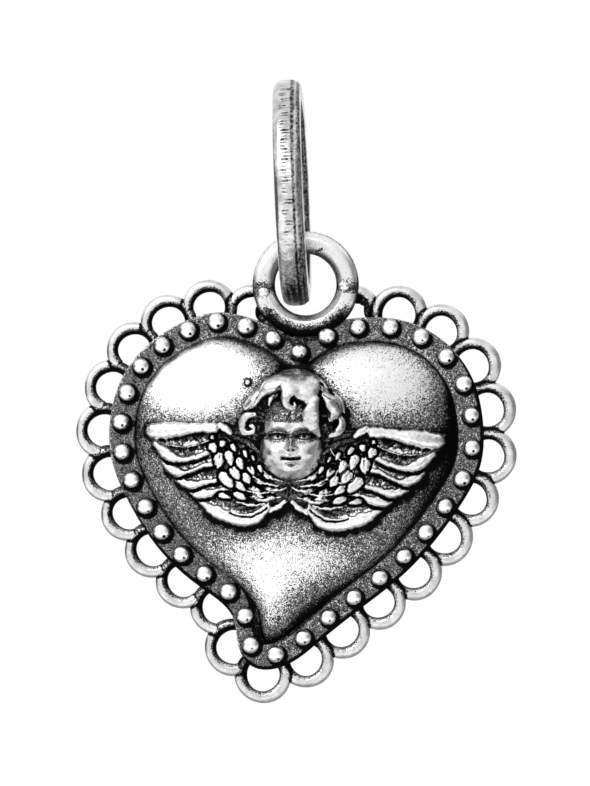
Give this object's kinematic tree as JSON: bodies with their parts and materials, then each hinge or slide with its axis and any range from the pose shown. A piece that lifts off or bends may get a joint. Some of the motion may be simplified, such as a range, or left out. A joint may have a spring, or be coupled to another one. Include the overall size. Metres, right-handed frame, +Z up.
{
  "type": "milagro charm",
  "caption": "Puffed heart charm with a winged cherub head, a beaded rim and a scalloped wire edge, whose soldered eye swings on a jump ring.",
  "frame": {"origin": "centre of the jump ring, where a chain passes through it", "axes": "+Z up from the heart's tip to the jump ring, +X to the viewer's right, -Y out of the heart's decorated front"},
  "size_m": [0.0299, 0.0152, 0.0421],
  "materials": {
    "ring_silver": "polished, worn bright with fine file marks",
    "eye_silver": "polished with dark solder hollows",
    "oxidised_silver": "oxidised and matt, with a bright rubbed edge",
    "burnished_silver": "burnished on the crowns, speckled dark at the foot",
    "bead_silver": "polished",
    "loop_silver": "polished outside, oxidised inside",
    "figure_silver": "rubbed bright on the ridges, oxidised in the hollows"
  },
  "bodies": {
    "ring": {"jump_ring": "ring_silver"},
    "heart": {"heart_plate": "oxidised_silver", "heart_dome": "burnished_silver", "hanging_eye": "eye_silver", "bead_row": "bead_silver", "cherub_head": "figure_silver", "left_wing": "figure_silver", "right_wing": "figure_silver", "edge_loop_01": "loop_silver", "edge_loop_02": "loop_silver", "edge_loop_03": "loop_silver", "edge_loop_04": "loop_silver", "edge_loop_05": "loop_silver", "edge_loop_06": "loop_silver", "edge_loop_07": "loop_silver", "edge_loop_08": "loop_silver", "edge_loop_09": "loop_silver", "edge_loop_10": "loop_silver", "edge_loop_11": "loop_silver", "edge_loop_12": "loop_silver", "edge_loop_13": "loop_silver", "edge_loop_14": "loop_silver", "edge_loop_15": "loop_silver", "edge_loop_16": "loop_silver", "edge_loop_17": "loop_silver", "edge_loop_18": "loop_silver", "edge_loop_19": "loop_silver", "edge_loop_20": "loop_silver", "edge_loop_21": "loop_silver", "edge_loop_22": "loop_silver", "edge_loop_23": "loop_silver", "edge_loop_24": "loop_silver", "edge_loop_25": "loop_silver"}
  },
  "joints": [
    {"name": "side_swing", "type": "hinge", "parent": "ring", "child": "heart", "pos_m": [0.00028, 0, -0.00672], "axis": [0, 1, 0], "range_deg": [-90, 90]}
  ]
}
